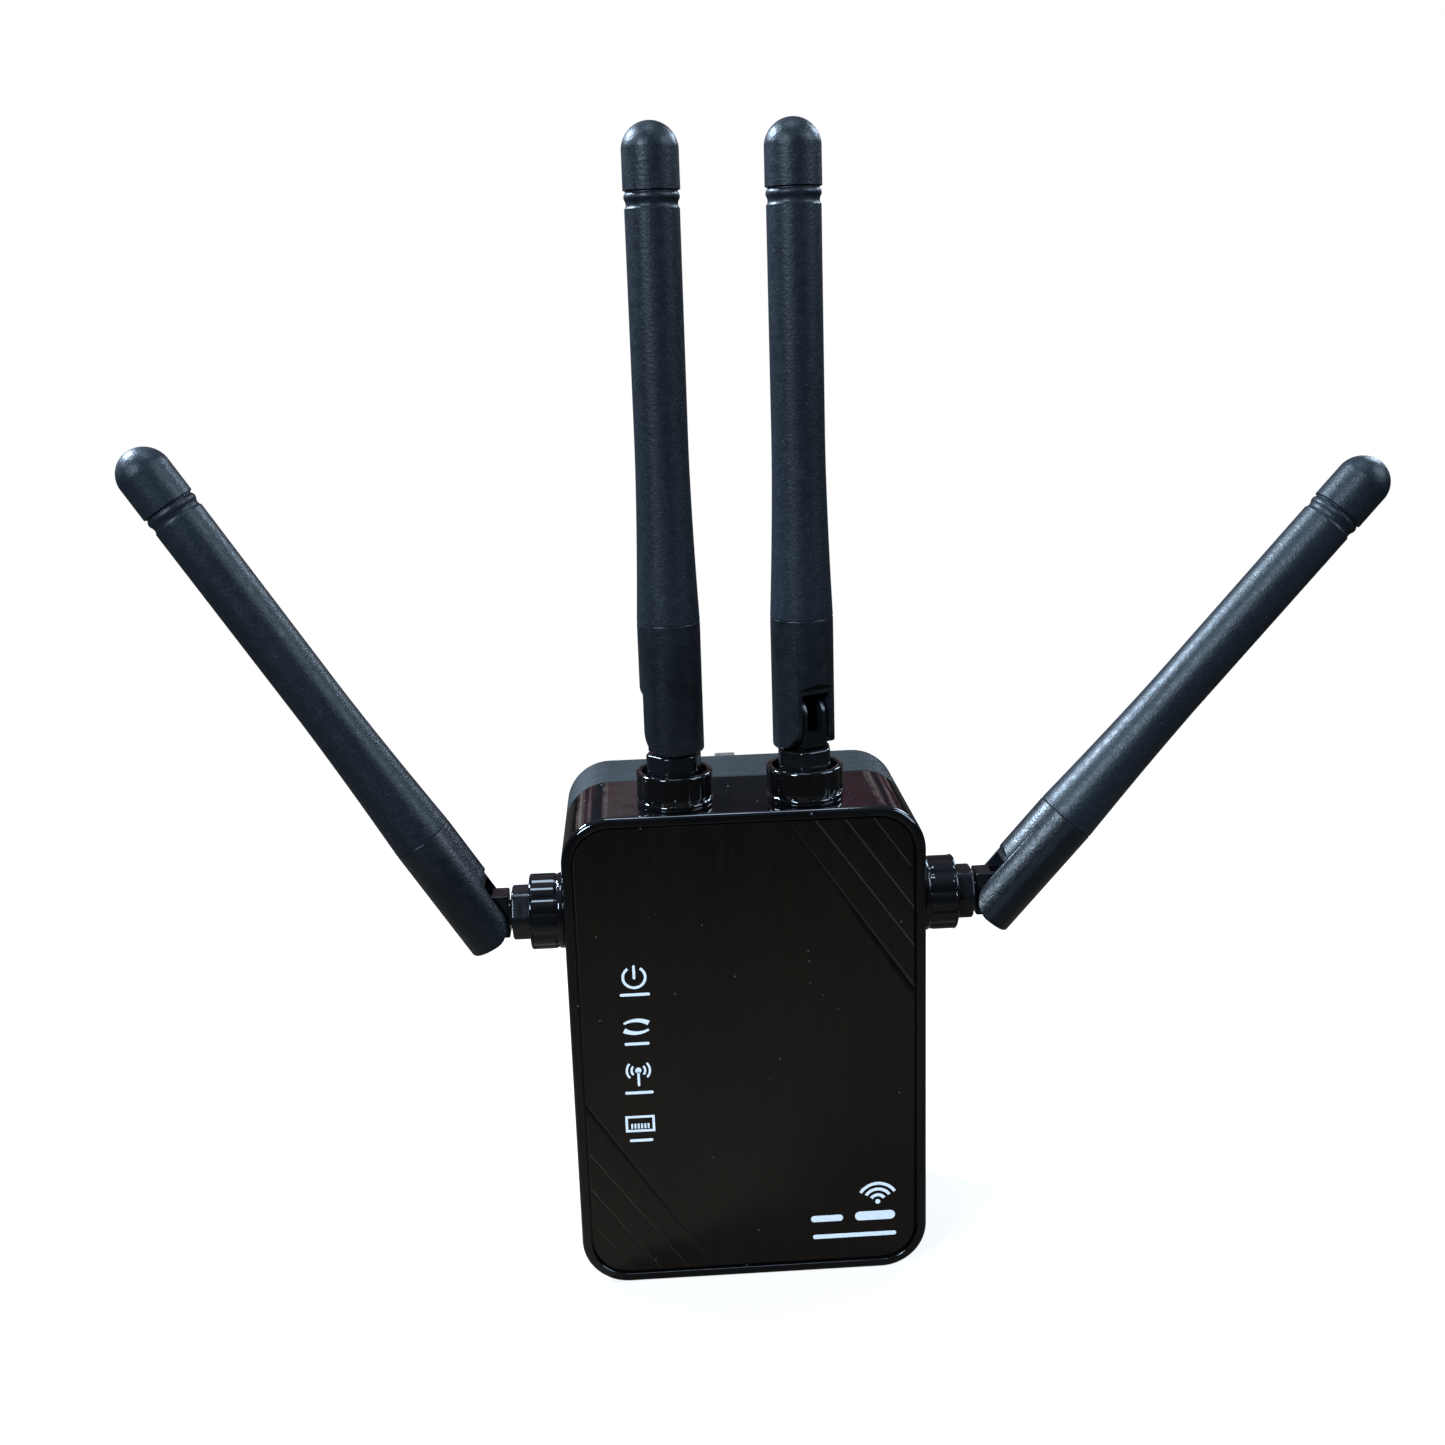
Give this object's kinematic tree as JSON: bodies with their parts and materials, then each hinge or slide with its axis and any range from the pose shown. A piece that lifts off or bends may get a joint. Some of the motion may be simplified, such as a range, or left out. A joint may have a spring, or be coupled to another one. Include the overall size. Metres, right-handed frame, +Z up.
{
  "type": "wifi range extender",
  "caption": "Wall-plug wifi range extender with a rectangular case, folding and swivelling stub antennas, network ports, buttons and British plug pins.",
  "frame": {"origin": "on the flat wall face of the rear shell, at the middle of the case's width and height", "axes": "+Y into the wall, out of the rear face; +Z up; +X to the right seen from the front panel, which faces -Y"},
  "size_m": [0.2022, 0.0587, 0.1918],
  "materials": {
    "gloss_black": "polished, mirror-like moulded ABS",
    "panel_black": "polished, with a faint vertical grain and engraved lines",
    "matte_slate": "fine spark-eroded texture",
    "antenna_plastic": "fine matte moulding",
    "antenna_rubber": "soft satin thermoplastic rubber",
    "nickel": "satin nickel plate on brass",
    "steel": "tinned sheet and zinc-plated screws",
    "brass": "plain drawn brass",
    "board_green": "solder-masked glass epoxy board",
    "clear_plastic": "clear polycarbonate",
    "black_plastic": "moulded nylon",
    "amber_tape": "polyester winding tape",
    "cable_grey": "extruded cable jacket"
  },
  "bodies": {
    "root": {"front_shell": "gloss_black", "front_panel": "panel_black", "rear_shell": "matte_slate", "port_plate": "gloss_black", "live_pin": "nickel", "live_pin_sleeve": "black_plastic", "neutral_pin": "nickel", "neutral_pin_sleeve": "black_plastic", "earth_pin": "nickel", "case_screw_1": "steel", "case_screw_2": "steel", "case_screw_3": "steel", "case_screw_4": "steel", "main_board": "board_green", "power_board": "board_green", "light_guide": "clear_plastic", "status_light_1": "clear_plastic", "status_light_2": "clear_plastic", "status_light_3": "clear_plastic", "status_light_4": "clear_plastic", "jack_left": "steel", "jack_right": "steel", "shield_can": "steel", "board_link": "black_plastic", "transformer": "amber_tape", "mains_capacitor": "black_plastic", "pairing_switch": "black_plastic", "mode_switch": "black_plastic", "reset_switch": "black_plastic", "top_left_collar": "gloss_black", "top_left_lead": "cable_grey", "top_right_collar": "gloss_black", "top_right_lead": "cable_grey", "left_collar": "gloss_black", "left_lead": "cable_grey", "right_collar": "gloss_black", "right_lead": "cable_grey"},
    "top_left_swivel": {"top_left_knuckle": "black_plastic", "top_left_clip": "steel"},
    "top_left_antenna": {"top_left_base": "antenna_plastic", "top_left_sleeve": "antenna_rubber", "top_left_radiator": "brass"},
    "top_right_swivel": {"top_right_knuckle": "black_plastic", "top_right_clip": "steel"},
    "top_right_antenna": {"top_right_base": "antenna_plastic", "top_right_sleeve": "antenna_rubber", "top_right_radiator": "brass"},
    "left_swivel": {"left_knuckle": "black_plastic", "left_clip": "steel"},
    "left_antenna": {"left_base": "antenna_plastic", "left_sleeve": "antenna_rubber", "left_radiator": "brass"},
    "right_swivel": {"right_knuckle": "black_plastic", "right_clip": "steel"},
    "right_antenna": {"right_base": "antenna_plastic", "right_sleeve": "antenna_rubber", "right_radiator": "brass"},
    "pairing_button": {"pairing_button": "gloss_black"},
    "mode_knob": {"mode_knob": "gloss_black"},
    "reset_button": {"reset_button": "black_plastic"}
  },
  "joints": [
    {"name": "top_left_turn", "type": "hinge", "parent": "root", "child": "top_left_swivel", "pos_m": [-0.0108, -0.0286, 0.0424], "axis": [0, 0, -1], "range_deg": [-195, 0]},
    {"name": "top_left_fold", "type": "hinge", "parent": "top_left_swivel", "child": "top_left_antenna", "pos_m": [-0.0108, -0.0286, 0.0566], "axis": [-0.2588, -0.9659, 0], "range_deg": [0, 90]},
    {"name": "top_right_turn", "type": "hinge", "parent": "root", "child": "top_right_swivel", "pos_m": [0.0108, -0.0286, 0.0424], "axis": [0, 0, 1], "range_deg": [-116, 64]},
    {"name": "top_right_fold", "type": "hinge", "parent": "top_right_swivel", "child": "top_right_antenna", "pos_m": [0.0108, -0.0286, 0.0566], "axis": [0.8988, 0.4384, 0], "range_deg": [0, 90]},
    {"name": "left_turn", "type": "hinge", "parent": "root", "child": "left_swivel", "pos_m": [-0.03, -0.0286, 0.0244], "axis": [1, 0, 0], "range_deg": [-15, 180]},
    {"name": "left_fold", "type": "hinge", "parent": "left_swivel", "child": "left_antenna", "pos_m": [-0.0442, -0.0286, 0.0244], "axis": [0, 1, 0], "range_deg": [-58, 32]},
    {"name": "right_turn", "type": "hinge", "parent": "root", "child": "right_swivel", "pos_m": [0.03, -0.0286, 0.0244], "axis": [1, 0, 0], "range_deg": [-15, 180]},
    {"name": "right_fold", "type": "hinge", "parent": "right_swivel", "child": "right_antenna", "pos_m": [0.0442, -0.0286, 0.0244], "axis": [0, -1, 0], "range_deg": [-49, 41]},
    {"name": "pairing_press", "type": "slide", "parent": "root", "child": "pairing_button", "axis": [1, 0, 0], "range_m": [0, 0.0006], "stiffness_N_per_m": 400, "springref_m": -0.0005},
    {"name": "mode_slide", "type": "slide", "parent": "root", "child": "mode_knob", "axis": [0, 0, 1], "range_m": [-0.002, 0.002]},
    {"name": "reset_press", "type": "slide", "parent": "root", "child": "reset_button", "axis": [0, 0, 1], "range_m": [0, 0.0004], "stiffness_N_per_m": 400, "springref_m": -0.0005}
  ]
}
